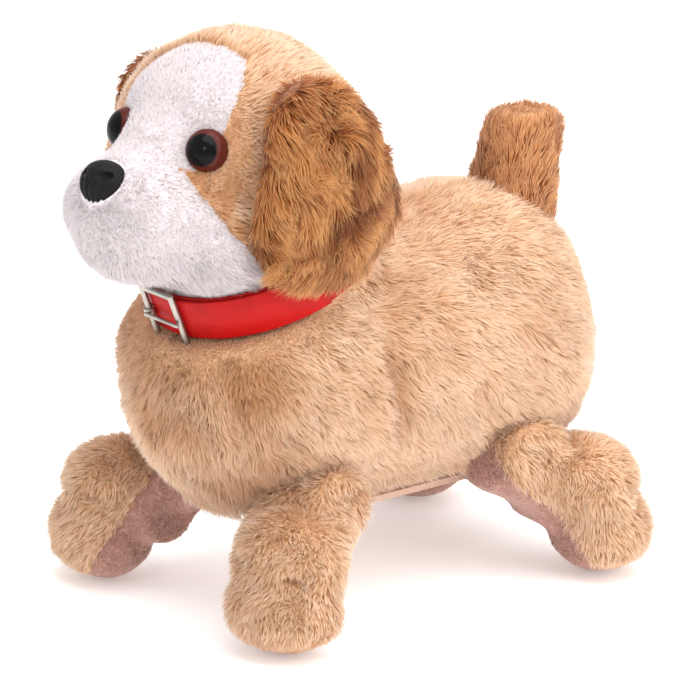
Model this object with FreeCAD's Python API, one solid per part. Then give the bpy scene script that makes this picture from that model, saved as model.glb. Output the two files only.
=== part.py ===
"""Battery-powered walking plush puppy, about 17 cm long.

A moulded gearbox chassis sits in a padded plush body. A motor drives a three-stage spur train to a crank axle
that crosses the chassis. On each side a link bar joins the front and hind leg frames into a parallelogram, which
the crank swings, and the two sides work against each other. The head, ears and tail are sewn plush with safety
eyes and nose, and a strap collar closes the neck seam.

Frame: +Z up, the puppy faces -Y, its left side is +X. The origin is on the floor, under the middle of the box.
All sizes are in millimetres.
"""

import FreeCAD, Part
import math
import os

V = FreeCAD.Vector
X, Y, Z = V(1, 0, 0), V(0, 1, 0), V(0, 0, 1)
FAR = 300.0
SETBACK = 1.365                # puts the origin under the middle of the box
GAP = 0.4                      # air between soft solids that move past each other
FIT = 0.05                     # radial running clearance of pins and axles

# Driving sizes of the plush outside
BODY_R = 42.0                  # radius of the round body, pile included
BODY_Z = 66.5                  # height of the body's own axis
CHEST_Y, RUMP_Y = -20.0, 45.5  # centres of the rounded ends
SKIN = 5.5                     # cloth, pile and the padding sewn to it
HEAD_R, HEAD_Y, HEAD_Z = 40.0, -30.5, 130.0
HEAD_DEPTH = 38.0              # half length of the head from face to back
HEAD_TURN = 5.0                # degrees that the head looks to its left
MUZZLE_Y, MUZZLE_Z = -72.3, 124.0
MUZZLE_W, MUZZLE_R = 23.0, 18.0
NECK_R = 32.0
NECK_POINT = V(0, -23.0, 103.0)
NECK_AXIS = V(0, -0.375, 0.927).normalize()
COLLAR_W, COLLAR_T = 13.0, 1.3
PAW_REACH = 22.5               # paw centre ahead of or behind its axle
LEG_X, LEG_W = 41.0, 17.5      # middle and half width of a leg
LEG_R = 14.0
LEG_SPLAY = 18.0               # degrees that the toes turn out
LEG_SWING = 12.0               # degrees each way

# Driving sizes of the chassis and its linkage
CHASSIS_X, CHASSIS_Y0, CHASSIS_Y1 = 22.0, -30.0, 56.0
CHASSIS_Z0, CHASSIS_Z1 = 45.0, 88.0
WALL = 1.8
PLATE_Z = 27.0                 # underside of the belly plate
AXLE_Z, FRONT_AXLE_Y, HIND_AXLE_Y = 50.0, -24.0, 44.0
AXLE_R = 1.5
LEVER = 12.0                   # link pin above the leg axle
FRAME_X0, FRAME_X1 = 23.5, 26.5
LINK_X0, LINK_X1 = 27.0, 29.0
CRANK_Y, CRANK_Z = 18.0, AXLE_Z + LEVER
CRANK_R, CRANK_THROW = 2.0, 2.5
MODULE = 0.6
TEETH_MOTOR, TEETH_WHEEL, TEETH_PINION, TEETH_OUTPUT = 8, 32, 10, 36
MIDDLE_Y = (FRONT_AXLE_Y + HIND_AXLE_Y) / 2


def block(x0, x1, y0, y1, z0, z1):
    return Part.makeBox(x1 - x0, y1 - y0, z1 - z0, V(x0, y0, z0))


def rounded_block(x0, x1, y0, y1, z0, z1, radius, along):
    """A block whose edges parallel to one axis are rounded."""
    body = block(x0, x1, y0, y1, z0, z1)
    chosen = [e for e in body.Edges if abs(e.tangentAt(e.FirstParameter).dot(along)) > 0.99]
    return body.makeFillet(radius, chosen)


def rod(start, axis, radius, length):
    return Part.makeCylinder(radius, length, start, axis)


def cross_rod(x0, x1, y, z, radius):
    """A round rod that runs along X."""
    return rod(V(x0, y, z), X, radius, x1 - x0)


def slot_plate(x0, x1, ends, radius):
    """A flat bar with round ends, lying in a YZ plane between two (y, z) points."""
    (y0, z0), (y1, z1) = ends
    run = V(0, y1 - y0, z1 - z0)
    side = V(0, -run.z, run.y).normalize() * radius
    corners = [V(x0, y0, z0) - side, V(x0, y1, z1) - side, V(x0, y1, z1) + side, V(x0, y0, z0) + side]
    bar = Part.Face(Part.makePolygon(corners + corners[:1])).extrude(V(x1 - x0, 0, 0))
    return bar.fuse([cross_rod(x0, x1, y0, z0, radius), cross_rod(x0, x1, y1, z1, radius)]).removeSplitter()


def stretched_ball(centre, x, y, z):
    """A ball stretched to its own half size along each axis."""
    scale = FreeCAD.Matrix()
    scale.A11, scale.A22, scale.A33 = x, y, z
    ball = Part.makeSphere(1.0, V(0, 0, 0), V(0, -1, 0)).transformGeometry(scale)
    ball.translate(centre)
    return ball


def body_form(radius):
    """The round body: a cylinder along Y with ball ends."""
    tube = rod(V(0, CHEST_Y, BODY_Z), Y, radius, RUMP_Y - CHEST_Y)
    ends = [Part.makeSphere(radius, V(0, y, BODY_Z)) for y in (CHEST_Y, RUMP_Y)]
    return tube.fuse(ends).removeSplitter()


def neck_form(radius, low, high):
    """The neck column between two stations along its own axis."""
    return rod(NECK_POINT + NECK_AXIS * low, NECK_AXIS, radius, high - low)


def above_neck(station):
    """A large block that holds everything beyond a station of the neck axis."""
    slab = Part.makeBox(2 * FAR, 2 * FAR, FAR, V(-FAR, -FAR, 0))
    slab.Placement = FreeCAD.Placement(NECK_POINT + NECK_AXIS * station, FreeCAD.Rotation(Z, NECK_AXIS))
    return slab


def mirrored(shape, across):
    """The same solid on the puppy's other side, or at its other end."""
    base = V(0, 0, 0) if across == X else V(0, MIDDLE_Y, 0)
    return shape.mirror(base, across)


def turned(shape, point, axis, degrees):
    copy = shape.copy()
    copy.rotate(point, axis, degrees)
    return copy


# ---------------------------------------------------------------- gears

def gear(teeth, x0, x1, centre, first_tooth, bore):
    """A spur gear along X. first_tooth is the angle of one tooth's middle, from +Y towards +Z."""
    pitch_r = MODULE * teeth / 2
    base_r = pitch_r * math.cos(math.radians(20))
    root_r, tip_r = pitch_r - 1.2 * MODULE, pitch_r + 0.8 * MODULE
    half_at_pitch = 0.42 * math.pi / teeth       # a little under half the pitch, for toy-gear backlash

    def involute(r):
        if r <= base_r:
            return 0.0
        roll = math.sqrt((r / base_r) ** 2 - 1)
        return roll - math.atan(roll)

    def half_angle(r):
        return half_at_pitch + involute(pitch_r) - involute(r)

    flank = [root_r, max(base_r, root_r + 0.1), pitch_r, tip_r]
    points = []
    for k in range(teeth):
        middle = first_tooth + 2 * math.pi * k / teeth
        side = [(r, half_angle(r)) for r in flank]
        for r, a in side:
            points.append(V(x0, centre[0] + r * math.cos(middle - a), centre[1] + r * math.sin(middle - a)))
        for r, a in reversed(side):
            points.append(V(x0, centre[0] + r * math.cos(middle + a), centre[1] + r * math.sin(middle + a)))
    wheel = Part.Face(Part.makePolygon(points + points[:1])).extrude(V(x1 - x0, 0, 0))
    return wheel.cut(cross_rod(x0 - 1, x1 + 1, centre[0], centre[1], bore))


def next_centre(centre, teeth_a, teeth_b, degrees):
    reach = MODULE * (teeth_a + teeth_b) / 2
    a = math.radians(degrees)
    return (centre[0] + reach * math.cos(a), centre[1] + reach * math.sin(a))


def meshed(first_tooth, teeth_a, teeth_b, degrees):
    """Where gear b's first tooth lies when it meshes with gear a, b lying in that direction from a."""
    line = math.radians(degrees)
    return line + math.pi - teeth_a / teeth_b * (first_tooth - line) - math.pi / teeth_b


TO_SECOND, TO_FIRST, TO_MOTOR = 115.0, 190.0, 200.0   # direction of each next axis, in degrees
CRANK = (CRANK_Y, CRANK_Z)
SECOND = next_centre(CRANK, TEETH_OUTPUT, TEETH_PINION, TO_SECOND)
FIRST = next_centre(SECOND, TEETH_WHEEL, TEETH_PINION, TO_FIRST)
MOTOR = next_centre(FIRST, TEETH_WHEEL, TEETH_MOTOR, TO_MOTOR)
SECOND_TOOTH = meshed(0.0, TEETH_OUTPUT, TEETH_PINION, TO_SECOND)
FIRST_TOOTH = meshed(SECOND_TOOTH, TEETH_WHEEL, TEETH_PINION, TO_FIRST)
MOTOR_TOOTH = meshed(FIRST_TOOTH, TEETH_WHEEL, TEETH_MOTOR, TO_MOTOR)
PIN_R = 1.0                    # gear pins and the motor shaft


def gear_train():
    output = gear(TEETH_OUTPUT, 14.9, 17.5, CRANK, 0.0, CRANK_R)
    second = gear(TEETH_WHEEL, 11.3, 13.9, SECOND, SECOND_TOOTH, PIN_R + FIT)
    second = second.fuse(gear(TEETH_PINION, 13.9, 17.8, SECOND, SECOND_TOOTH, PIN_R + FIT))
    first = gear(TEETH_WHEEL, 8.2, 10.8, FIRST, FIRST_TOOTH, PIN_R + FIT)
    first = first.fuse(gear(TEETH_PINION, 10.8, 14.2, FIRST, FIRST_TOOTH, PIN_R + FIT))
    pinion = gear(TEETH_MOTOR, 8.0, 11.2, MOTOR, MOTOR_TOOTH, PIN_R)
    pins = [cross_rod(-21.4, 21.4, y, z, PIN_R) for y, z in (FIRST, SECOND)]
    return {
        "output_gear": output,
        "second_reduction_gear": second.removeSplitter(),
        "first_reduction_gear": first.removeSplitter(),
        "motor_pinion": pinion,
        "gear_pins": Part.makeCompound(pins),
    }


def crank():
    """The axle through the chassis and, outside each wall, a disc with an eccentric pin half a turn apart."""
    disc_x0, disc_x1, pin_x1, disc_r = 22.4, 24.2, 26.6, 5.5
    discs = []
    for side in (1, -1):
        disc = cross_rod(disc_x0, disc_x1, CRANK_Y, CRANK_Z, disc_r)
        disc = disc.fuse(cross_rod(disc_x1, pin_x1, CRANK_Y, CRANK_Z + side * CRANK_THROW, PIN_R))
        disc = disc.cut(cross_rod(disc_x0 - 1, disc_x1 - 0.4, CRANK_Y, CRANK_Z, CRANK_R))
        discs.append(disc if side > 0 else mirrored(disc, X))
    reach = disc_x1 - 0.4
    return {
        "crank_axle": cross_rod(-reach, reach, CRANK_Y, CRANK_Z, CRANK_R),
        "crank_discs": Part.makeCompound(discs),
    }


def motor():
    """Small flat-sided can motor, lying across the chassis."""
    y, z = MOTOR
    x0, x1, r, flat, shell = -17.5, 5.5, 10.0, 7.5, 0.8

    def can(radius, half, a, b):
        return cross_rod(a, b, y, z, radius).common(block(a, b, y - FAR, y + FAR, z - half, z + half))

    bearing = cross_rod(x1, x1 + 1.5, y, z, 3.0)
    outer = can(r, flat, x0, x1).fuse(bearing).cut(can(r - shell, flat - shell, x0, x1 - shell))
    shaft_hole = cross_rod(x0 - 3, x1 + 3, y, z, PIN_R + FIT)
    cap = can(r, flat, x0 - 2.2, x0)
    armature = cross_rod(-11.0, 1.5, y, z, 5.8)
    shaft = cross_rod(x0 - 1.6, 12.0, y, z, PIN_R)
    return {
        "motor_can": outer.cut(shaft_hole),
        "motor_end_cap": cap.cut(shaft_hole),
        "motor_rotor": armature.fuse(shaft).removeSplitter(),
    }


# ---------------------------------------------------------------- chassis and electrics

SCREW_PLACES = [(-26.0, 84.0), (52.0, 84.0), (-26.0, 58.0), (32.0, 49.5)]
SCREW_R = 1.0


def chassis():
    """Two moulded halves, joined at X = 0 by four screws through tubular bosses."""
    outer = rounded_block(-CHASSIS_X, CHASSIS_X, CHASSIS_Y0, CHASSIS_Y1, CHASSIS_Z0, CHASSIS_Z1, 4.0, X)
    inner = rounded_block(
        WALL - CHASSIS_X, CHASSIS_X - WALL, CHASSIS_Y0 + WALL, CHASSIS_Y1 - WALL,
        CHASSIS_Z0 + WALL, CHASSIS_Z1 - WALL, 2.2, X,
    )
    shell = outer.cut(inner)
    within = CHASSIS_X - 0.5
    bosses = [cross_rod(-within, within, y, z, 3.0) for y, z in SCREW_PLACES]
    shell = shell.fuse(bosses)
    holes = [cross_rod(-FAR, FAR, y, AXLE_Z, AXLE_R + 0.02) for y in (FRONT_AXLE_Y, HIND_AXLE_Y)]
    holes.append(cross_rod(-FAR, FAR, CRANK_Y, CRANK_Z, CRANK_R + FIT))
    holes += [cross_rod(-21.5, 21.5, y, z, PIN_R + 0.02) for y, z in (FIRST, SECOND)]
    holes += [cross_rod(-FAR, FAR, y, z, SCREW_R + 0.02) for y, z in SCREW_PLACES]
    holes += [cross_rod(CHASSIS_X - 1.6, FAR, y, z, 2.4) for y, z in SCREW_PLACES]
    # sound holes in the back wall, and the wire way down to the battery box
    for ring, count in ((0.0, 1), (5.0, 6), (9.5, 10)):
        for k in range(count):
            a = 2 * math.pi * k / count
            place = V(ring * math.cos(a), CHASSIS_Y1 - 4, SPEAKER_Z + ring * math.sin(a))
            holes.append(rod(place, Y, 1.1, 8))
    holes.append(rod(V(-13.0, 8.0, CHASSIS_Z0 - 1), Z, 2.4, 4))
    shell = shell.cut(holes)
    left = shell.common(block(0.02, FAR, -FAR, FAR, -FAR, FAR))
    right = shell.common(block(-FAR, -0.02, -FAR, FAR, -FAR, FAR))
    screws = []
    for y, z in SCREW_PLACES:
        head = cross_rod(CHASSIS_X - 1.5, CHASSIS_X, y, z, 2.2)
        drive = block(CHASSIS_X - 0.6, CHASSIS_X + 1, y - 1.5, y + 1.5, z - 0.25, z + 0.25)
        drive = drive.fuse(block(CHASSIS_X - 0.6, CHASSIS_X + 1, y - 0.25, y + 0.25, z - 1.5, z + 1.5))
        screws.append(head.fuse(cross_rod(-12.0, CHASSIS_X - 1.5, y, z, SCREW_R)).cut(drive).removeSplitter())
    post = neck_post()
    return {
        "chassis_left": left.removeSplitter(),
        "chassis_right": right.removeSplitter(),
        "chassis_screws": Part.makeCompound(screws),
        "neck_post": post,
    }


def neck_post():
    """A moulded post that stands on the chassis and carries the head on a round plate."""
    foot = V(0, -21.0, CHASSIS_Z1 + 0.02)
    shaft = rod(V(0, -21.0, CHASSIS_Z1 - 10), NECK_AXIS, 6.0, 44.0)
    shaft = shaft.fuse(rod(foot, Z, 10.0, 2.0))
    plate_at = V(0, -21.0, CHASSIS_Z1 - 10) + NECK_AXIS * 42.0
    shaft = shaft.fuse(rod(plate_at, NECK_AXIS, 13.0, 2.0))
    return shaft.common(block(-FAR, FAR, -FAR, FAR, CHASSIS_Z1 + 0.02, FAR)).removeSplitter()


BOX_X, BOX_Y0, BOX_Y1 = 16.6, -14.0, 50.0
CELL_R, CELL_L, CELL_X, CELL_Z = 7.1, 49.3, 7.3, 36.2
CELL_Y0 = -9.6
DOOR_SCREW_Y = 46.5
PLATE = (-18.0, 18.0, -30.0, 53.0)
SWITCH_Y, SWITCH_TRAVEL = -23.5, 3.0
SPEAKER_Z, SPEAKER_R = 67.0, 13.0


def battery_box():
    """The belly plate with the open-bottomed battery box and the switch slot, and the door that closes it."""
    x0, x1, y0, y1 = PLATE
    plate_top = PLATE_Z + WALL
    plate = rounded_block(x0, x1, y0, y1, PLATE_Z, plate_top, 6.0, Z)
    box = block(-BOX_X, BOX_X, BOX_Y0, BOX_Y1, plate_top, CHASSIS_Z0 - 0.05)
    room = block(1.5 - BOX_X, BOX_X - 1.5, BOX_Y0 + 1.5, 42.8, PLATE_Z - 1, CHASSIS_Z0 - 1.6)
    window = rounded_block(-15.6, 15.6, BOX_Y0 + 1.5, 49.2, PLATE_Z - 1, plate_top, 2.0, Z)
    screw_hole = rod(V(0, DOOR_SCREW_Y, PLATE_Z), Z, SCREW_R + 0.02, 12)
    slot = block(-1.9, 1.9, SWITCH_Y - 2.2, SWITCH_Y + 2.2 + SWITCH_TRAVEL, PLATE_Z - 1, plate_top + 1)
    wire_way = rod(V(-13.0, 8.0, CHASSIS_Z0 - 3), Z, 2.4, 4)
    tray = plate.fuse(box).cut([room, window, screw_hole, slot, wire_way]).removeSplitter()
    door = rounded_block(-15.3, 15.3, BOX_Y0 + 1.8, 48.9, PLATE_Z, plate_top - 0.05, 1.8, Z)
    ribs = [rod(V(-9, 30 + 2.2 * k, PLATE_Z), X, 0.5, 18) for k in range(4)]
    counterbore = rod(V(0, DOOR_SCREW_Y, PLATE_Z - 1), Z, 2.05, 1.9)
    door = door.cut(ribs + [counterbore, rod(V(0, DOOR_SCREW_Y, PLATE_Z - 1), Z, SCREW_R + 0.1, 9)])
    screw = rod(V(0, DOOR_SCREW_Y, PLATE_Z + 0.02), Z, 1.9, 0.85)
    screw = screw.fuse(rod(V(0, DOOR_SCREW_Y, PLATE_Z + 0.87), Z, SCREW_R, 9.5))
    screw = screw.cut(block(-1.3, 1.3, DOOR_SCREW_Y - 0.25, DOOR_SCREW_Y + 0.25, PLATE_Z - 1, PLATE_Z + 0.5))
    cells, contacts = [], []
    for side in (1, -1):
        can = rod(V(side * CELL_X, CELL_Y0, CELL_Z), Y, CELL_R, CELL_L)
        nub_y = CELL_Y0 + CELL_L if side > 0 else CELL_Y0 - 1.0
        cells.append(can.fuse(rod(V(side * CELL_X, nub_y, CELL_Z), Y, 2.7, 1.0)).removeSplitter())
        for y in (BOX_Y0 + 1.5, 42.8 - 0.4):
            contacts.append(block(side * CELL_X - 5, side * CELL_X + 5, y, y + 0.4, CELL_Z - 5, CELL_Z + 5))
    return {
        "battery_box": tray,
        "battery_door": door,
        "battery_door_screw": screw.removeSplitter(),
        "battery_cells": Part.makeCompound(cells),
        "battery_contacts": Part.makeCompound(contacts),
    }


def switch():
    """A slide switch on the belly plate. Its knob stands through the slot and moves back to switch on."""
    top = PLATE_Z + WALL
    case = block(-5, 5, SWITCH_Y - 5.5, SWITCH_Y + 5.5 + SWITCH_TRAVEL, top + 0.02, top + 6)
    case = case.cut(block(-3.4, 3.4, SWITCH_Y - 3.7, SWITCH_Y + 3.7 + SWITCH_TRAVEL, top, top + 4.6))
    knob = block(-1.6, 1.6, SWITCH_Y - 1.8, SWITCH_Y + 1.8, PLATE_Z - 1.6, top + 0.6)
    grooves = [rod(V(-3, SWITCH_Y + d, PLATE_Z - 1.7), X, 0.3, 6) for d in (-1.1, 0.0, 1.1)]
    carrier = block(-3.0, 3.0, SWITCH_Y - 3.2, SWITCH_Y + 3.2, top + 0.4, top + 2.6)
    return {"switch_case": case, "switch_knob": knob.fuse(carrier).cut(grooves).removeSplitter()}


def sound():
    """Sound board on the right-hand wall, and the loudspeaker behind the back wall's holes."""
    board = block(-19.4, -18.2, 23.0, 45.0, 65.5, 85.0)
    board = board.cut([rod(V(-20, y, z), X, 1.0, 3) for y, z in ((25, 67.5), (43, 83))])
    chip = Part.makeCone(4.5, 3.4, 1.6, V(-18.2, 34.0, 74.0), X)
    tin = rod(V(-18.2, 27.5, 81.0), X, 2.5, 7.0)
    back = CHASSIS_Y1 - WALL - 0.3
    basket = rod(V(0, back - 2.4, SPEAKER_Z), Y, SPEAKER_R, 2.4)
    basket = basket.cut(rod(V(0, back - 1.4, SPEAKER_Z), Y, SPEAKER_R - 1.5, 2))
    cone = Part.makeCone(4.0, SPEAKER_R - 1.8, 1.3, V(0, back - 1.38, SPEAKER_Z), Y)
    cone = cone.cut(Part.makeCone(3.6, SPEAKER_R - 2.2, 1.3, V(0, back - 1.0, SPEAKER_Z), Y))
    magnet = rod(V(0, back - 6.4, SPEAKER_Z), Y, 7.0, 4.0)
    return {
        "circuit_board": board,
        "board_parts": Part.makeCompound([chip, tin]),
        "speaker_basket": basket,
        "speaker_cone": cone,
        "speaker_magnet": magnet,
    }


def axles():
    """Two steel leg axles across the chassis, each end closed by a push-on cap."""
    reach = FRAME_X1 + 2.2
    rods, caps = [], []
    for y in (FRONT_AXLE_Y, HIND_AXLE_Y):
        rods.append(cross_rod(-reach, reach, y, AXLE_Z, AXLE_R))
        cap = cross_rod(FRAME_X1 + 0.3, reach + 0.8, y, AXLE_Z, 3.4)
        cap = cap.cut(cross_rod(FRAME_X1, reach, y, AXLE_Z, AXLE_R))
        caps += [cap, mirrored(cap, X)]
    return {"leg_axles": Part.makeCompound(rods), "axle_caps": Part.makeCompound(caps)}


# ---------------------------------------------------------------- legs

KNEE = (FRONT_AXLE_Y - 14.0, 23.0)
PAW_Y = FRONT_AXLE_Y - PAW_REACH


def leg_frame():
    """The moulded frame of the front left leg: hub, link lever, arm, cross strut and the boot in the paw."""
    hub = (FRONT_AXLE_Y, AXLE_Z)
    pin_at = (FRONT_AXLE_Y, AXLE_Z + LEVER)
    frame = slot_plate(FRAME_X0, FRAME_X1, (hub, KNEE), 4.5)
    frame = frame.fuse([
        cross_rod(FRAME_X0 - 0.9, FRAME_X1, *hub, 5.5),
        slot_plate(FRAME_X0, FRAME_X1, (hub, pin_at), 3.2),
        cross_rod(FRAME_X1, LINK_X1 + 0.6, *pin_at, 1.2),
        cross_rod(FRAME_X1, 49.0, *KNEE, 4.0),
        slot_plate(37.0, 45.0, (KNEE, (PAW_Y + 2, 12.0)), 4.0),
        rounded_block(31.0, 50.0, PAW_Y - 5.0, PAW_Y + 6.0, 5.0, 13.0, 3.0, Z),
    ])
    bore = cross_rod(0, FAR, *hub, AXLE_R + FIT)
    return frame.cut(bore).removeSplitter()


def leg_plush(frame, body):
    """The front left leg's padded cover, as its outer piece (above and ahead) and inner piece (below and behind).

    body is what the cover has to swing clear of.
    """
    stretch = FreeCAD.Matrix()
    stretch.A11 = LEG_W / LEG_R

    def limb(start, end, radius):
        run = V(0, end[0] - start[0], end[1] - start[1])
        tube = rod(V(0, *start), run, radius, run.Length)
        balls = [Part.makeSphere(radius, V(0, *p)) for p in (start, end)]
        return tube.fuse(balls).removeSplitter().transformGeometry(stretch)

    upper = limb((FRONT_AXLE_Y, 37.0), (PAW_Y + 1.0, 27.0), 15.5)
    lower = limb((PAW_Y + 1.0, 27.0), (PAW_Y - 0.5, 12.0), LEG_R)
    form = upper.fuse(lower)
    form.translate(V(LEG_X, 0, 0))
    form.rotate(V(LEG_X, PAW_Y, 0), Z, LEG_SPLAY)
    sleeve = slot_plate(FRAME_X0 - 1.2, LEG_X - 4, ((FRONT_AXLE_Y, 42.0), KNEE), 8.5)
    form = form.fuse(sleeve).common(block(FRAME_X0 - 1.2, FAR, -FAR, FAR, 0, FAR))
    axle = V(0, FRONT_AXLE_Y, AXLE_Z)
    swings = (-LEG_SWING, -LEG_SWING / 2, 0, LEG_SWING / 2, LEG_SWING)
    form = form.cut([turned(body, axle, X, a) for a in swings])
    form = form.cut(frame)
    seam = [V(0, y, z) for y, z in (
        (PAW_Y - 30, -9), (FRONT_AXLE_Y + 40, 37), (FRONT_AXLE_Y + 40, -60), (PAW_Y - 30, -60))]
    below = Part.Face(Part.makePolygon(seam + seam[:1])).extrude(V(FAR, 0, 0))
    return form.cut(below), form.common(below)


def legs():
    found = {}
    frame = leg_frame()
    body = body_form(BODY_R + GAP)
    for end, flip_y in (("front", False), ("hind", True)):
        outer, inner = leg_plush(frame, mirrored(body, Y) if flip_y else body)
        for side, flip_x in (("left", False), ("right", True)):
            for part, shape in (("frame", frame), ("outer", outer), ("inner", inner)):
                shape = mirrored(shape, Y) if flip_y else shape
                shape = mirrored(shape, X) if flip_x else shape
                found[f"{end}_{side}_leg_{part}"] = shape
    return found


def links():
    """A bar on each side that joins the two levers. Its upright slot is for the crank pin."""
    pins = ((FRONT_AXLE_Y, CRANK_Z), (HIND_AXLE_Y, CRANK_Z))
    bar = slot_plate(LINK_X0, LINK_X1, pins, 3.0)
    bar = bar.fuse(rounded_block(LINK_X0, LINK_X1, CRANK_Y - 5, CRANK_Y + 5, CRANK_Z - 7, CRANK_Z + 7, 2.0, X))
    holes = [cross_rod(0, FAR, y, z, 1.2 + FIT) for y, z in pins]
    half = CRANK_THROW + 1.0
    holes.append(slot_plate(0, FAR, ((CRANK_Y, CRANK_Z - half), (CRANK_Y, CRANK_Z + half)), PIN_R + 0.1))
    bar = bar.cut(holes).removeSplitter()
    return {"left_link": bar, "right_link": mirrored(bar, X)}


# ---------------------------------------------------------------- body and head plush

def mechanism_room():
    """What the padding and skin leave free for the chassis, linkage, leg frames and battery box."""
    slack = 0.4
    rooms = [rounded_block(
        -CHASSIS_X - slack, CHASSIS_X + slack, CHASSIS_Y0 - slack, CHASSIS_Y1 + slack,
        CHASSIS_Z0 - slack, CHASSIS_Z1 + slack, 4.0, X,
    )]
    x0, x1, y0, y1 = PLATE
    rooms.append(rounded_block(x0 - slack, x1 + slack, y0 - slack, y1 + slack, 0, PLATE_Z + 8.5, 6.0, Z))
    rooms.append(block(-BOX_X - slack, BOX_X + slack, BOX_Y0 - slack, BOX_Y1 + slack, 0, CHASSIS_Z0 + 1))
    for side in (1, -1):
        bay = block(CHASSIS_X - 1, LINK_X1 + 2.2, FRONT_AXLE_Y - 9.5, HIND_AXLE_Y + 9.5, AXLE_Z - 9, CRANK_Z + 8)
        front_well = slot_plate(CHASSIS_X - 1, LINK_X1 + 0.5, ((FRONT_AXLE_Y, AXLE_Z), (KNEE[0] + 2, 15.0)), 12.5)
        for room in (bay, front_well, mirrored(front_well, Y)):
            rooms.append(room if side > 0 else mirrored(room, X))
    rooms.append(neck_post_room())
    return rooms


def neck_post_room():
    return neck_post().fuse(rod(V(0, -21.0, CHASSIS_Z1 - 1), Z, 10.0, 3.0))


TAIL_FOOT, TAIL_TOP = V(0, 64.5, 84.0), V(0, 73.5, 129.5)
TAIL_R0, TAIL_R1 = 12.5, 9.5
TAIL_PIVOT = V(0, 68.0, 97.0)
TAIL_SWING = 15.0


def body_plush():
    """Skin in a left and a right side piece and a belly piece, over one block of padding."""
    top = COLLAR_W / 2
    outer = body_form(BODY_R).fuse(neck_form(NECK_R, -30.0, top)).cut(above_neck(top))
    inner = body_form(BODY_R - SKIN).fuse(neck_form(NECK_R - SKIN, -30.0, top)).cut(above_neck(top))
    band = neck_form(FAR, -top - 0.4, top + 1).cut(neck_form(NECK_R, -20, 20))
    rooms = mechanism_room()
    skin = outer.cut(inner).cut(rooms + [band, buckle_room()])
    padding = inner.cut(rooms + [band, buckle_room()])
    belly = block(-21.5, 21.5, FRONT_AXLE_Y - 14, HIND_AXLE_Y + 14, 0, 45)
    sides = skin.cut(belly)
    return {
        "body_skin_left": sides.common(block(0.02, FAR, -FAR, FAR, -FAR, FAR)),
        "body_skin_right": sides.common(block(-FAR, -0.02, -FAR, FAR, -FAR, FAR)),
        "belly_panel": skin.common(belly),
        "body_padding": padding,
    }


EYE_X, EYE_Y, EYE_Z = 17.3, -56.8, 141.5
EYE_R, EYE_SEAT = 6.0, 32.0    # radius, and distance of its flat back from the middle of the head
NOSE_AXIS = V(0, -0.70, 0.714).normalize()
NOSE_R, NOSE_SEAT = 7.8, 12.5


def domed_button(base, axis, radius, height, stem):
    """A safety eye or nose: a domed front over a short rim, and a stem that takes the washer."""
    rim = height * 0.35
    rise = height - rim
    ball_r = (radius ** 2 + rise ** 2) / (2 * rise)
    half = math.asin(radius / ball_r) / 2
    halfway = V(ball_r * math.sin(half), 0, height - ball_r + ball_r * math.cos(half))
    corners = [V(0, 0, height), V(0, 0, -stem), V(1.6, 0, -stem), V(1.6, 0, 0), V(radius, 0, 0), V(radius, 0, rim)]
    edges = [Part.makeLine(a, b) for a, b in zip(corners, corners[1:])]
    edges.append(Part.Arc(corners[-1], halfway, corners[0]).toShape())
    button = Part.Face(Part.Wire(edges)).revolve(V(0, 0, 0), Z, 360)
    button.Placement = FreeCAD.Placement(base, FreeCAD.Rotation(Z, axis))
    return button


def with_head(shape):
    """Turns a piece of the head with it."""
    return turned(shape, NECK_POINT, NECK_AXIS, HEAD_TURN)


def head_form(shrink):
    skull = stretched_ball(V(0, HEAD_Y, HEAD_Z), HEAD_R - shrink, HEAD_DEPTH - shrink, HEAD_R - shrink)
    muzzle = stretched_ball(V(0, MUZZLE_Y, MUZZLE_Z), MUZZLE_W - shrink, MUZZLE_R - shrink, MUZZLE_R - shrink)
    jowl = neck_form(NECK_R - shrink, COLLAR_W / 2, COLLAR_W / 2 + 14)
    form = skull.fuse([muzzle, jowl])
    return form.common(above_neck(COLLAR_W / 2 + 0.3))


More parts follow.
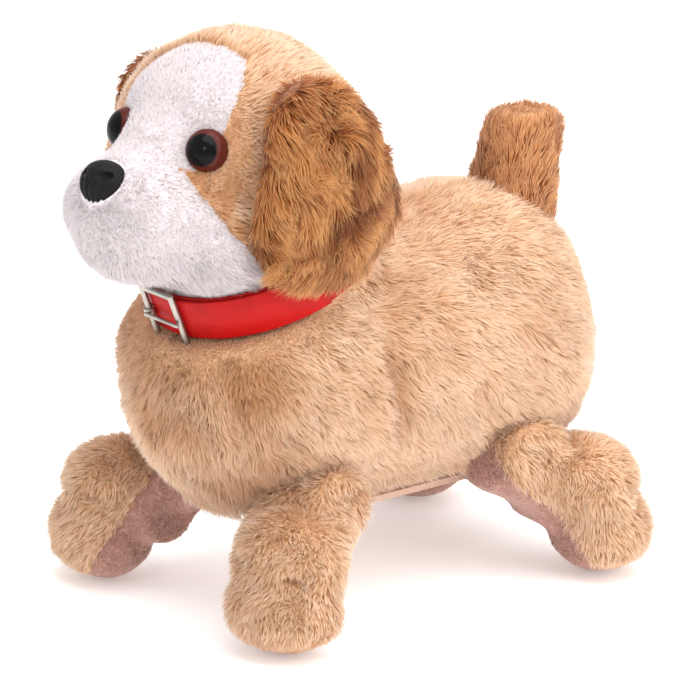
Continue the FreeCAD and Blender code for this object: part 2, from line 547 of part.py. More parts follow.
def head_plush():
    """Head skin in two crown pieces and a white face piece over its padding, with the eyes and nose."""
    centre = V(0, HEAD_Y, HEAD_Z)
    eye_at = V(EYE_X, EYE_Y, EYE_Z) - centre
    eye_axis = V(eye_at.x, eye_at.y, eye_at.z).normalize()
    nose_at = V(0, MUZZLE_Y, MUZZLE_Z)
    left_eye = domed_button(centre + eye_axis * EYE_SEAT, eye_axis, EYE_R, 6.0, 7.0)
    right_eye = mirrored(left_eye, X)
    nose = domed_button(nose_at + NOSE_AXIS * NOSE_SEAT, NOSE_AXIS, NOSE_R, 7.0, 6.0)
    for side in (1, -1):
        nostril = nose_at + NOSE_AXIS * (NOSE_SEAT + 6.1) + V(side * 3.2, 0, 0)
        nose = nose.cut(Part.makeSphere(1.3, nostril))
    seats = [rod(nose_at + NOSE_AXIS * (NOSE_SEAT - 0.1), NOSE_AXIS, NOSE_R + 0.3, 20)]
    washers = []

    def washer(base, axis, seat, radius):
        ring = rod(base + axis * (seat - 4.0), axis, radius, 1.2)
        return ring.cut(rod(base + axis * (seat - 6), axis, 1.62, 8))

    left_washer = washer(centre, eye_axis, EYE_SEAT, 6.5)
    left_seat = rod(centre + eye_axis * (EYE_SEAT - 0.1), eye_axis, EYE_R + 0.3, 2.3)
    left_seat = left_seat.fuse(
        Part.makeCone(EYE_R + 0.3, EYE_R + 6.3, 6.0, centre + eye_axis * (EYE_SEAT + 2.2), eye_axis))
    washers += [left_washer, mirrored(left_washer, X), washer(nose_at, NOSE_AXIS, NOSE_SEAT, 5.0)]
    seats += [left_seat, mirrored(left_seat, X)]
    outer, inner = head_form(0.0), head_form(SKIN)
    skin = outer.cut(inner)
    stems = [
        rod(centre + eye_axis * (EYE_SEAT - 7.2), eye_axis, 1.62, 8),
        mirrored(rod(centre + eye_axis * (EYE_SEAT - 7.2), eye_axis, 1.62, 8), X),
        rod(nose_at + NOSE_AXIS * (NOSE_SEAT - 6.2), NOSE_AXIS, 1.62, 8),
    ]
    post = turned(neck_post_room(), NECK_POINT, NECK_AXIS, -HEAD_TURN)
    padding = inner.cut(seats + stems + washers + [post])

    def carved(panel):
        for tool in seats + stems:
            panel = panel.cut(tool)
        return panel
    blaze = block(-12, 12, -FAR, HEAD_Y - 6, HEAD_Z + 4, HEAD_Z + 34)
    face = block(-FAR, FAR, -FAR, HEAD_Y - 22, -FAR, HEAD_Z + 4.0).fuse(blaze)
    crown = carved(skin.cut(face))
    found = {
        "head_skin_left": crown.common(block(0.02, FAR, -FAR, FAR, -FAR, FAR)),
        "head_skin_right": crown.common(block(-FAR, -0.02, -FAR, FAR, -FAR, FAR)),
        "face_panel": carved(skin.common(face)),
        "head_padding": padding,
        "left_eye": left_eye,
        "right_eye": right_eye,
        "nose": nose,
        "safety_washers": Part.makeCompound(washers),
    }
    return {name: with_head(shape) for name, shape in found.items()}


EAR_INNER, EAR_OUTER = HEAD_R + 0.5, HEAD_R + 7.5
EAR_OUTLINE = [
    (-41, 163), (-52, 151), (-57, 131), (-55, 112), (-45, 101),
    (-27, 99), (-11, 105), (-3, 121), (-6, 141), (-20, 160),
]
RIGHT_EAR_OUTLINE = [
    (-31, 160), (-42, 153), (-41, 143), (-32, 131), (-27, 115), (-20, 103),
    (-5, 101), (7, 108), (9, 125), (2, 143), (-11, 157),
]


def ears():
    """Floppy ears that follow the side of the head. The right one hangs further back, its tip turned up."""
    centre = V(0, HEAD_Y, HEAD_Z)
    dome = Part.makeSphere(EAR_OUTER, centre).cut(Part.makeSphere(EAR_INNER, centre))
    dome = dome.cut(neck_form(NECK_R + 6.0, -20, COLLAR_W / 2 + 0.8))

    def ear(points):
        outline = Part.BSplineCurve()
        outline.interpolate([V(12, y, z) for y, z in points], PeriodicFlag=True)
        return dome.common(Part.Face(Part.Wire(outline.toShape())).extrude(V(FAR, 0, 0)))

    return {"left_ear": with_head(ear(EAR_OUTLINE)), "right_ear": with_head(mirrored(ear(RIGHT_EAR_OUTLINE), X))}


def tail():
    """A short padded tail that stands in a slit of the rump."""
    run = TAIL_TOP - TAIL_FOOT
    cone = Part.makeCone(TAIL_R0, TAIL_R1, run.Length, TAIL_FOOT, run)
    cone = cone.makeFillet(3.5, [e for e in cone.Edges if e.BoundBox.ZMin > TAIL_TOP.z - 6])
    hollow = body_form(BODY_R + GAP)
    swings = (-TAIL_SWING, -TAIL_SWING / 2, 0, TAIL_SWING / 2, TAIL_SWING)
    return {"tail": cone.cut([turned(hollow, TAIL_PIVOT, Y, a) for a in swings])}


# ---------------------------------------------------------------- collar

BUCKLE_W = NECK_R + COLLAR_T + 2.2     # distance of the buckle's wire from the neck axis
BUCKLE_U, BUCKLE_V, WIRE_R = 6.6, 8.2, 0.9


def buckle_room():
    """What the body's skin leaves free for the buckle."""
    half_u, half_v = BUCKLE_U + WIRE_R + 1, BUCKLE_V + WIRE_R + 0.6
    room = Part.makeBox(2 * half_u, 14, 2 * half_v, V(-half_u, -NECK_R - 14, -half_v))
    room.Placement = FreeCAD.Placement(NECK_POINT, FreeCAD.Rotation(Z, NECK_AXIS))
    return room


def neck_place(across, along, out):
    """A point beside the neck: across to the left, along the neck axis, and out to the front."""
    front = V(0, -NECK_AXIS.z, NECK_AXIS.y)
    return NECK_POINT + X * across + NECK_AXIS * along + front * out


def collar():
    """Strap, its free end laid over the left side, the wire buckle and its prong."""
    half = COLLAR_W / 2
    strap = neck_form(NECK_R + 0.2 + COLLAR_T, -half, half).cut(neck_form(NECK_R + 0.2, -20, 20))
    lap = neck_form(NECK_R + 1.5 + 2 * COLLAR_T, -half + 0.4, half - 0.4)
    lap = lap.cut(neck_form(NECK_R + 0.3 + COLLAR_T, -20, 20))
    sector = Part.makeBox(FAR, FAR, FAR, V(0, -FAR, -FAR / 2))
    sector.Placement = FreeCAD.Placement(NECK_POINT, FreeCAD.Rotation(Z, NECK_AXIS)).multiply(sector.Placement)
    sector.rotate(NECK_POINT, NECK_AXIS, 18)
    lap = lap.common(sector)
    corners = [neck_place(u, v, BUCKLE_W) for u, v in (
        (-BUCKLE_U, -BUCKLE_V), (BUCKLE_U, -BUCKLE_V), (BUCKLE_U, BUCKLE_V), (-BUCKLE_U, BUCKLE_V))]
    bars = [rod(a, b - a, WIRE_R, (b - a).Length) for a, b in zip(corners, corners[1:] + corners[:1])]
    frame = bars[0].fuse(bars[1:] + [Part.makeSphere(WIRE_R, c) for c in corners]).removeSplitter()
    eye = rod(neck_place(-BUCKLE_U, -1.2, BUCKLE_W), NECK_AXIS, WIRE_R + 0.85, 2.4)
    tongue_at = neck_place(-BUCKLE_U, 0, BUCKLE_W + WIRE_R + 0.95)
    tongue = rod(tongue_at, X, 0.6, 2 * BUCKLE_U + 1.2).fuse(
        Part.makeSphere(0.6, tongue_at + X * (2 * BUCKLE_U + 1.2)))
    hole = rod(neck_place(-BUCKLE_U, -9, BUCKLE_W), NECK_AXIS, WIRE_R + FIT, 18)
    return {
        "collar_strap": Part.makeCompound([strap, lap]),
        "buckle_frame": frame,
        "buckle_prong": eye.fuse(tongue).cut(hole).removeSplitter(),
    }


def main():
    os.makedirs("parts", exist_ok=True)
    nodes = {}
    for make in (gear_train, crank, motor, chassis, battery_box, switch, sound, axles, legs, links,
                 body_plush, head_plush, ears, tail, collar):
        nodes.update(make())
    for name, shape in sorted(nodes.items()):
        shape.translate(V(0, SETBACK, 0))
        kept = shape.Solids
        shape = kept[0] if len(kept) == 1 else Part.makeCompound(kept)
        shape.exportStep(os.path.join("parts", name + ".step"))


main()
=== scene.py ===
import math

import bpy
import numpy as np
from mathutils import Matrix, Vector


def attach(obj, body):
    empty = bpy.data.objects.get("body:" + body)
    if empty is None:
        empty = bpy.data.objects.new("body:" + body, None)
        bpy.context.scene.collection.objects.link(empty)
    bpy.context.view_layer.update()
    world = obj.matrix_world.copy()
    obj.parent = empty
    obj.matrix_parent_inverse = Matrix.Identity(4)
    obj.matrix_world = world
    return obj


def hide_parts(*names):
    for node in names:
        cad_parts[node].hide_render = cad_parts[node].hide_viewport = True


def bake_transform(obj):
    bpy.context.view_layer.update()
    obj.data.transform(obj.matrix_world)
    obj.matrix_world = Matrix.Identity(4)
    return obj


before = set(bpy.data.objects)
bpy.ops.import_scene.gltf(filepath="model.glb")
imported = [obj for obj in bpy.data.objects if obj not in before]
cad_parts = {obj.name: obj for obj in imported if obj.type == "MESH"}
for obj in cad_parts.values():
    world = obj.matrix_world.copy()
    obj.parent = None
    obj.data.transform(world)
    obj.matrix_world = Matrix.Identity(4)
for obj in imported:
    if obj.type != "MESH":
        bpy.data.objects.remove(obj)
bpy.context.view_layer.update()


# ---------------------------------------------------------------- gearbox, motor, battery box and linkage
# Injection-moulded housings and link parts, acetal gears, plated steel axles and pins, and a drawn motor can.
# They are screwed and pressed together inside the padding, and only the belly door and the switch show.

class Wire:
    """A shader value that takes part in sums. Each sum adds its Math node."""

    def __init__(self, finish, socket):
        self.finish = finish
        self.socket = socket

    def _sum(self, operation, first, second):
        return self.finish.node("ShaderNodeMath", {"operation": operation}, {0: first, 1: second})

    def __add__(self, other):
        return self._sum("ADD", self, other)

    def __radd__(self, other):
        return self._sum("ADD", other, self)

    def __sub__(self, other):
        return self._sum("SUBTRACT", self, other)

    def __rsub__(self, other):
        return self._sum("SUBTRACT", other, self)

    def __mul__(self, other):
        return self._sum("MULTIPLY", self, other)

    def __rmul__(self, other):
        return self._sum("MULTIPLY", other, self)

    def __pow__(self, other):
        return self._sum("POWER", self, other)

    def above(self, edge, softness):
        """0 below edge and 1 above it, with a soft step between."""
        return self.finish.node("ShaderNodeMapRange", {"interpolation_type": "SMOOTHSTEP"}, {
            0: self, 1: edge - softness, 2: edge + softness})


class Finish:
    """One material: its node tree and the shader that its parts feed."""

    def __init__(self, name, **fixed):
        self.material = bpy.data.materials.new(name)
        self.material.use_nodes = True
        self.nodes = self.material.node_tree.nodes
        self.shader = self.nodes["Principled BSDF"]
        for socket, value in fixed.items():
            self.shader.inputs[socket.replace("_", " ").title().replace("Ior", "IOR")].default_value = value

    def feed(self, socket, value):
        if isinstance(value, Wire):
            self.material.node_tree.links.new(socket, value.socket)
        elif isinstance(value, tuple) and len(value) == 3 and socket.type == "RGBA":
            socket.default_value = (*value, 1.0)
        else:
            socket.default_value = value

    def node(self, kind, settings, sockets, out=0):
        made = self.nodes.new(kind)
        for name, value in settings.items():
            setattr(made, name, value)
        for key, value in sockets.items():
            self.feed(made.inputs[key], value)
        return Wire(self, made.outputs[out])

    def place(self):
        """Where on the object a point is, in metres."""
        return self.node("ShaderNodeTexCoord", {}, {}, out="Object")

    def noise(self, size, detail=3.0, rough=0.55):
        """Cloudy noise whose patches are about size millimetres across."""
        return self.node("ShaderNodeTexNoise", {}, {
            "Vector": self.place(), "Scale": 1000.0 / size, "Detail": detail, "Roughness": rough})

    def mix(self, factor, first, second):
        return self.node("ShaderNodeMix", {"data_type": "RGBA"}, {0: factor, 6: first, 7: second}, out=2)

    def bump(self, height, depth, strength=1.0):
        """Relief of depth millimetres."""
        return self.node("ShaderNodeBump", {}, {
            "Height": height, "Distance": depth / 1000, "Strength": strength})

    def thin(self, colour, share):
        """Lets light through from the far side, as loose fibres do."""
        through = self.node("ShaderNodeBsdfTranslucent", {}, {"Color": colour})
        mixed = self.node("ShaderNodeMixShader", {}, {
            0: share, 1: Wire(self, self.shader.outputs[0]), 2: through})
        self.feed(self.nodes["Material Output"].inputs["Surface"], mixed)

    def dress(self, **parts):
        for socket, value in parts.items():
            self.feed(self.shader.inputs[socket.replace("_", " ").title()], value)
        return self.material


def tint(red, green, blue):
    """A colour given as 0 to 255 on a screen, as linear light."""
    share = [c / 255 for c in (red, green, blue)]
    return tuple(c / 12.92 if c <= 0.04045 else ((c + 0.055) / 1.055) ** 2.4 for c in share)


def moulded(name, colour, roughness, grain=0.35, coat=0.0):
    """Moulded plastic: fine spark-eroded grain, flow marks and slight handling shine."""
    finish = Finish(name, coat_weight=coat, coat_roughness=0.15)
    flow, pores = finish.noise(14), finish.noise(grain, 2.0)
    darker = tuple(c * 0.82 for c in colour)
    return finish.dress(
        base_color=finish.mix(flow.above(0.5, 0.25), colour, darker),
        roughness=roughness + 0.12 * flow, normal=finish.bump(pores, 0.02))


def machined(name, colour, roughness, metallic=1.0):
    """Drawn or turned metal: fine lines, dull patches and a little tarnish."""
    finish = Finish(name, metallic=metallic)
    stretched = finish.node("ShaderNodeMapping", {}, {
        "Vector": finish.place(), "Scale": (40.0, 900.0, 900.0)})
    lines = finish.node("ShaderNodeTexNoise", {}, {"Vector": stretched, "Scale": 3.0, "Detail": 2.0})
    dull = finish.noise(6)
    darker = tuple(c * 0.7 for c in colour)
    return finish.dress(
        base_color=finish.mix(dull.above(0.58, 0.2), colour, darker),
        roughness=roughness + 0.2 * lines, normal=finish.bump(lines, 0.01))


def dress_nodes(material, *names):
    for name in names:
        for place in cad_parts[name].material_slots:
            place.link = "OBJECT"
            place.material = material


LEGS = [(end, side) for end in ("front", "hind") for side in ("left", "right")]
dress_nodes(moulded("ivory_housing", tint(222, 216, 200), 0.42), "chassis_left", "chassis_right", "neck_post")
dress_nodes(moulded("white_linkage", tint(232, 230, 224), 0.38), "left_link", "right_link", "axle_caps",
            "crank_discs", *[f"{end}_{side}_leg_frame" for end, side in LEGS])
dress_nodes(moulded("beige_battery_box", tint(206, 170, 148), 0.5), "battery_box", "battery_door")
dress_nodes(moulded("black_switch", tint(30, 30, 31), 0.4), "switch_case", "switch_knob")
dress_nodes(moulded("cream_gears", tint(236, 228, 206), 0.28, coat=0.2),
            "output_gear", "first_reduction_gear", "second_reduction_gear", "motor_end_cap")
dress_nodes(moulded("clear_washer", tint(232, 231, 226), 0.3), "safety_washers")
dress_nodes(machined("plated_steel", tint(186, 187, 190), 0.26), "chassis_screws", "battery_door_screw",
            "battery_contacts", "gear_pins", "leg_axles", "crank_axle", "motor_rotor", "speaker_basket")
dress_nodes(machined("motor_can_steel", tint(172, 175, 178), 0.34), "motor_can")
dress_nodes(machined("turned_brass", tint(214, 176, 96), 0.24), "motor_pinion")
dress_nodes(machined("sintered_magnet", tint(70, 70, 74), 0.6, 0.6), "speaker_magnet")
dress_nodes(moulded("cell_sleeve", tint(38, 92, 66), 0.3, coat=0.5), "battery_cells")
dress_nodes(moulded("board_mask", tint(26, 96, 52), 0.35, coat=0.3), "circuit_board")
dress_nodes(moulded("black_resin", tint(20, 20, 21), 0.4), "board_parts")
dress_nodes(moulded("pressed_paper", tint(44, 43, 42), 0.85, grain=0.8), "speaker_cone")


# ---------------------------------------------------------------- padding
# Loose white polyester fibre pushed in around the chassis and into the head.
# The body and head skins below are each cast again, a little smaller, as the wad that fills them.

wad = Finish("loose_fibre", roughness=0.95, sheen_weight=0.3)
matted = wad.node("ShaderNodeTexNoise", {}, {
    "Vector": wad.place(), "Scale": 260.0, "Detail": 8.0, "Roughness": 0.75, "Distortion": 2.5})
wad.dress(base_color=wad.mix(matted, tint(206, 205, 200), tint(246, 246, 244)), normal=wad.bump(matted, 0.8))
WAD_DEPTH = 2.4


# ---------------------------------------------------------------- body skin
# Tan knitted-back pile cut as a left and a right side piece, sewn along the back and to the belly panel.
# The padding rounds it out at the chest and rump, and the collar draws it in at the neck.

CHEST, RUMP = (0, -18.6, 66.5), (0, 46.9, 66.5)
NECK_POINT = np.array((0, -21.6, 103.0))
NECK_AXIS = np.array((0, -0.375, 0.927))
STRAP_HALF = 6.5
# The dark colour goes on in rubbed patches, as dye marks, and as painted shading in folds and under the body.
PILE_TAN = dict(
    root=tint(214, 164, 116), body=tint(243, 206, 166), tip=tint(254, 240, 224), dye_and_painted_shade=tint(200, 140, 88))


def unit(vectors):
    return vectors / np.maximum(np.linalg.norm(vectors, axis=-1, keepdims=True), 1e-9)


def melt(first, second, softness):
    """Joins two forms with a soft fillet."""
    share = np.clip(0.5 + 0.5 * (second - first) / softness, 0, 1)
    return second * (1 - share) + first * share - softness * share * (1 - share)


def ball(p, centre, sizes):
    q = p - np.array(centre, float)
    sizes = np.array(sizes, float) * np.ones(3)
    k = np.linalg.norm(q / sizes, axis=-1)
    slope = np.linalg.norm(q / sizes ** 2, axis=-1)
    return k * (k - 1) / np.maximum(slope, 1e-9)


def limb(p, start, end, r_start, r_end):
    a, run = np.array(start, float), np.array(end, float) - np.array(start, float)
    share = np.clip(((p - a) @ run) / (run @ run), 0, 1)
    return np.linalg.norm(p - a - share[..., None] * run, axis=-1) - (r_start + (r_end - r_start) * share)


def slope_of(field, p, reach=0.4):
    steps = np.eye(3) * reach
    return unit(np.stack([field(p + s) - field(p - s) for s in steps], -1))


def drift(p, size, seed):
    """A smooth random vector at each point, whose waves are about size millimetres long."""
    lattice = np.random.default_rng(seed).uniform(-1, 1, (24, 24, 24, 3))
    q = p / size + 500.0
    low = np.floor(q).astype(int)
    t = q - low
    t = t * t * (3 - 2 * t)
    total = np.zeros(p.shape)
    for i in (0, 1):
        for j in (0, 1):
            for k in (0, 1):
                weight = (np.abs(1 - i - t[..., 0]) * np.abs(1 - j - t[..., 1]) * np.abs(1 - k - t[..., 2]))
                corner = lattice[(low[..., 0] + i) % 24, (low[..., 1] + j) % 24, (low[..., 2] + k) % 24]
                total += corner * weight[..., None]
    return total


def cast(field, low, high, step):
    """The closed surface of a form inside a box, as points and four-sided faces."""
    low = np.array(low, float)
    axes = [np.arange(a, b + step, step) for a, b in zip(low, high)]
    value = field(np.stack(np.meshgrid(*axes, indexing="ij"), -1))
    inside = value < 0
    cells = np.array(value.shape) - 1

    def corner(grid, c):
        return grid[c[0]:c[0] + cells[0], c[1]:c[1] + cells[1], c[2]:c[2] + cells[2]]

    total, hits = np.zeros((*cells, 3)), np.zeros(cells)
    for c in np.ndindex(2, 2, 2):
        for axis in range(3):
            if c[axis]:
                continue
            along = np.eye(3, dtype=int)[axis]
            a, b = corner(value, c), corner(value, c + along)
            cut = (a < 0) != (b < 0)
            share = np.where(cut, a / np.where(cut, a - b, 1), 0)
            total += (np.array(c) + share[..., None] * along) * cut[..., None]
            hits += cut
    used = np.argwhere(hits > 0)
    number = np.full(cells, -1)
    number[tuple(used.T)] = np.arange(len(used))
    points = low + step * (used + total[tuple(used.T)] / hits[tuple(used.T)][:, None])
    faces = []
    for axis in range(3):
        along = np.eye(3, dtype=int)[axis]
        b, c = np.eye(3, dtype=int)[(axis + 1) % 3], np.eye(3, dtype=int)[(axis + 2) % 3]
        ends = np.moveaxis(inside, axis, 0)
        edge = np.argwhere(np.moveaxis(ends[:-1] != ends[1:], 0, axis))
        edge = edge[np.all(edge - b - c >= 0, axis=1) & np.all(edge < cells, axis=1)]
        around = ((1, 1), (0, 1), (0, 0), (1, 0))
        quad = np.stack([number[tuple((edge - m * b - n * c).T)] for m, n in around], 1)
        outward = inside[tuple(edge.T)]
        faces.append(np.where(outward[:, None], quad, quad[:, ::-1]))
    for _ in range(2):
        points = points - field(points)[:, None] * slope_of(field, points)
    return points, np.concatenate(faces)


def make_mesh(name, points, corners, starts, material, normals=None):
    mesh = bpy.data.meshes.new(name)
    mesh.vertices.add(len(points))
    mesh.vertices.foreach_set("co", (points / 1000).astype(np.float32).ravel())
    mesh.loops.add(len(corners))
    mesh.loops.foreach_set("vertex_index", corners.astype(np.int32))
    mesh.polygons.add(len(starts))
    mesh.polygons.foreach_set("loop_start", starts.astype(np.int32))
    mesh.update(calc_edges=True)
    mesh.polygons.foreach_set("use_smooth", np.ones(len(starts), bool))
    if normals is not None:
        mesh.normals_split_custom_set_from_vertices(normals)
    mesh.materials.append(material)
    piece = bpy.data.objects.new(name, mesh)
    bpy.context.scene.collection.objects.link(piece)
    return piece


def cloth(name, points, faces, keep, material):
    """One cut panel: the faces of a skin whose middles keep() holds."""
    chosen = faces[keep(points[faces].mean(1))]
    used, index = np.unique(chosen, return_inverse=True)
    chosen = index.reshape(chosen.shape)
    return make_mesh(name, points[used], chosen.ravel(), np.arange(len(chosen)) * 4, material)


def scatter(points, faces, per_mm2, rng):
    """Random points spread evenly over a skin."""
    tri = np.concatenate([faces[:, [0, 1, 2]], faces[:, [0, 2, 3]]])
    a, b, c = (points[tri[:, i]] for i in range(3))
    area = np.linalg.norm(np.cross(b - a, c - a), axis=1) / 2
    count = int(area.sum() * per_mm2)
    pick = rng.choice(len(tri), count, p=area / area.sum())
    u, v = rng.random((2, count, 1))
    over = (u + v) > 1
    u, v = np.where(over, 1 - u, u), np.where(over, 1 - v, v)
    return a[pick] + u * (b - a)[pick] + v * (c - a)[pick]


def pile(name, roots, normals, comb, length, material, rng, width=0.3, lift=0.7, tuft=0.4, tuft_size=5.0,
         stray=0.12, dye_and_painted_shade=0.0, place=None):
    """Pile fibres as narrow tapered blades that stand up from the skin and lean with the nap."""
    count = len(roots)
    long = np.broadcast_to(length, (count,))[:, None] * rng.uniform(0.8, 1.1, (count, 1))
    comb = unit(comb - np.sum(comb * normals, 1, keepdims=True) * normals)
    sway = drift(roots, tuft_size, 11) * tuft + drift(roots, tuft_size * 0.4, 12) * tuft * 0.5
    sway = sway + rng.normal(0, stray, (count, 3))
    sway = sway - np.sum(sway * normals, 1, keepdims=True) * normals
    rise = unit(normals * lift + comb * (1 - lift) + sway * 0.5)
    fall = unit(normals * lift * 0.6 + comb * (1 - lift * 0.6) + sway)
    roots = roots - normals * 0.4
    middle = roots + rise * long * 0.5
    tip = middle + fall * long * 0.5
    side = unit(np.cross(tip - roots, normals + rng.normal(0, 0.4, (count, 3)))) * width / 2
    blades = np.stack([roots - side, roots + side, middle + side * 0.9, middle - side * 0.9, tip], 1)
    flat = np.cross(side, fall)
    flat = unit(flat * np.sign(np.sum(flat * normals, 1, keepdims=True) + 1e-9))
    shine = unit(normals * 0.8 + flat * 0.2 + rng.normal(0, 0.04, (count, 3)))
    if place is not None:
        blades = place(blades.reshape(-1, 3)).reshape(-1, 5, 3)
        shine = place(shine, turn_only=True)
    faced = np.cross(blades[:, 1] - blades[:, 0], blades[:, 4] - blades[:, 0])
    away = np.sum(faced * shine, 1) < 0
    blades[away] = blades[away][:, [1, 0, 3, 2, 4]]
    first = np.arange(count)[:, None]
    corners = (first * 5 + np.array([0, 1, 2, 3, 3, 2, 4])).ravel()
    starts = (first * 7 + np.array([0, 4])).ravel()
    piece = make_mesh(name, blades.reshape(-1, 3), corners, starts, material, np.repeat(shine, 5, 0))
    for label, values in (
        ("along", np.tile((0, 0, 0.5, 0.5, 1), count)),
        ("chance", np.repeat(rng.random(count), 5)),
        ("dye_and_painted_shade", np.repeat(np.broadcast_to(dye_and_painted_shade, (count,)), 5)),
    ):
        layer = piece.data.attributes.new(label, "FLOAT", "POINT")
        layer.data.foreach_set("value", values.astype(np.float32))
    return piece


def pile_finish(name, root, body, tip, dye_and_painted_shade, patch_size=22.0, sheen=0.3, patches=0.35):
    """Dyed pile: deep at the root, paler at the tip, darker where rubbed, with painted shading, and uneven
    from fibre to fibre.
    """
    finish = Finish(name, roughness=0.75, sheen_weight=sheen, sheen_roughness=0.5, specular_ior_level=0.2)
    finish.thin(body, 0.38)
    along, chance, dye_and_shade_share = (
        finish.node("ShaderNodeAttribute", {"attribute_name": label}, {}, out="Fac")
        for label in ("along", "chance", "dye_and_painted_shade"))
    rubbed = finish.noise(patch_size, 2.0).above(0.56, 0.16) * patches
    dyed_and_shaded = finish.mix(rubbed, body, dye_and_painted_shade)
    # The per-fibre share lays on painted shading in folds and on undersides, and dye marks, and holds back
    # pale tips.
    dyed_and_shaded = finish.mix(dye_and_shade_share, dyed_and_shaded, dye_and_painted_shade)
    dyed_and_shaded = finish.mix(chance ** 2.0 * 0.25, dyed_and_shaded, root)
    stem = finish.mix(along.above(0.3, 0.32), root, dyed_and_shaded)
    return finish.dress(base_color=finish.mix(along.above(0.75, 0.3) * (0.85 - dye_and_shade_share * 0.7), stem, tip))


def knit_finish(name, colour):
    """Knitted backing under a pile: fine loops seen between the fibres."""
    finish = Finish(name, roughness=0.9, sheen_weight=0.2)
    loops = finish.node("ShaderNodeTexVoronoi", {}, {"Vector": finish.place(), "Scale": 1100.0})
    darker = tuple(c * 0.6 for c in colour)
    return finish.dress(base_color=finish.mix(loops * 1.4, darker, colour), normal=finish.bump(loops, 0.25))


def crease(p, start, end, width, depth):
    """How far a soft fold between two points draws the skin in."""
    a, run = np.array(start, float), np.array(end, float) - np.array(start, float)
    share = np.clip(((p - a) @ run) / (run @ run), 0, 1)
    away = np.linalg.norm(p - a - share[..., None] * run, axis=-1)
    return depth * np.exp(-(away / width) ** 2)


def station(p):
    """How far up the neck's axis a point is, from the middle of the collar."""
    return (p - NECK_POINT) @ NECK_AXIS


BODY_FOLDS = [
    ((37, -6, 80), (36, 2, 46), 3.4, 3.6), ((31, -16, 102), (37, -6, 84), 3.2, 3.0),
    ((37, 26, 62), (34, 38, 44), 3.2, 2.4), ((24, -52, 84), (26, -48, 56), 3.4, 2.2),
    ((30, -42, 62), (36, -24, 48), 3.0, 1.6)]


def folded(p):
    """How far the skin's soft folds draw it in, on both sides."""
    depth = 0
    for start, end, width, fold in BODY_FOLDS:
        for side in (1, -1):
            depth = depth + crease(p, (side * start[0], *start[1:]), (side * end[0], *end[1:]), width, fold)
    return depth


def body_form(p):
    trunk = limb(p, CHEST, RUMP, 37.4, 37.0)
    trunk = melt(trunk, ball(p, (0, 51, 77), (29, 25.5, 24.5)), 12)
    trunk = melt(trunk, ball(p, (0, 54, 54), (31, 31, 25)), 12)
    trunk = melt(trunk, ball(p, (0, -26, 72), (35.5, 30, 35)), 10)
    trunk = trunk + drift(p, 26, 3)[..., 0] * 1.1 + drift(p, 13, 4)[..., 1] * 0.4 + folded(p)
    trunk = trunk + crease(p, (-16, 71, 99), (16, 71, 99), 3.0, 3.0)
    trunk = -melt(-trunk, -station(p) - STRAP_HALF - 1.0, 3.0)
    neck = limb(p, (0, -14, 84), NECK_POINT + NECK_AXIS * 20, 30, 30)
    return np.maximum(melt(trunk, neck, 2.0), station(p) - 5.0)


rng = np.random.default_rng(7)
skin, skin_faces = cast(body_form, (-46, -66, 20), (46, 94, 118), 2.0)
BELLY_TOP = 36.0


def underneath(p, half_width, front, rear):
    return (np.abs(p[:, 0]) < half_width) & (p[:, 1] > front) & (p[:, 1] < rear) & (p[:, 2] < BELLY_TOP)


def on_belly(p):
    return underneath(p, 21.5, -36.6, 59.4)


def on_door(p):
    return underneath(p, 18.4, -28.9, 54.7)


tan_knit = knit_finish("tan_knit", tint(222, 176, 134))
tan_pile = pile_finish("tan_pile", sheen=0.45, **PILE_TAN)
roots = scatter(skin, skin_faces, 5.0, rng)
roots = roots[~on_belly(roots) & (station(roots) < -STRAP_HALF - 0.8)]
for side, sign in (("left", 1), ("right", -1)):
    panel = cloth(
        f"body_cloth_{side}", skin, skin_faces, lambda p: (p[:, 0] * sign > 0) & ~on_belly(p), tan_knit)
    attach(panel, "body")
    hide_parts(f"body_skin_{side}")
    mine = roots[roots[:, 0] * sign > 0]
    normals = slope_of(body_form, mine)
    under_strap = np.exp(-(station(mine) + 8)[:, None] ** 2 / 60)
    nap = np.array((sign * 0.2, 0.7, -0.8)) + NECK_AXIS * -1.2 * under_strap
    lengths = 5.4 * np.clip((-station(mine) - STRAP_HALF) / 7, 0.28, 1)
    lengths = lengths + 2.6 * np.exp(-((mine[:, 2] - 35) / 3.5) ** 2)
    # Painted shading on the chest under the head, in the folds and low on the sides; the blotches are dye
    # patches.
    throat = np.exp(-((mine[:, 1] + 52) / 16) ** 2 - ((mine[:, 2] - 80) / 15) ** 2)
    blotches = np.clip(drift(mine, 15, 8)[:, 0] + 0.1, 0, 1) * 0.55
    dye_and_painted_shade = np.clip(0.5 * throat + 0.18 * folded(mine) + 0.2 * (mine[:, 2] < 45) + blotches, 0, 0.85)
    coat = pile(f"body_pile_{side}", mine, normals, nap, lengths, tan_pile, rng, width=0.26, dye_and_painted_shade=dye_and_painted_shade)
    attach(coat, "body")
points, faces = cast(lambda p: body_form(p) + WAD_DEPTH, (-42, -62, 24), (42, 90, 114), 3.0)
filling = make_mesh("body_wad", points, faces.ravel(), np.arange(len(faces)) * 4, wad.material)
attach(filling, "body")
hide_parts("body_padding")


# ---------------------------------------------------------------- belly panel
# Short-napped velour in a dusty pink, hemmed round the moulded belly plate and sewn to both side pieces.
# The battery door and the switch show through its opening.

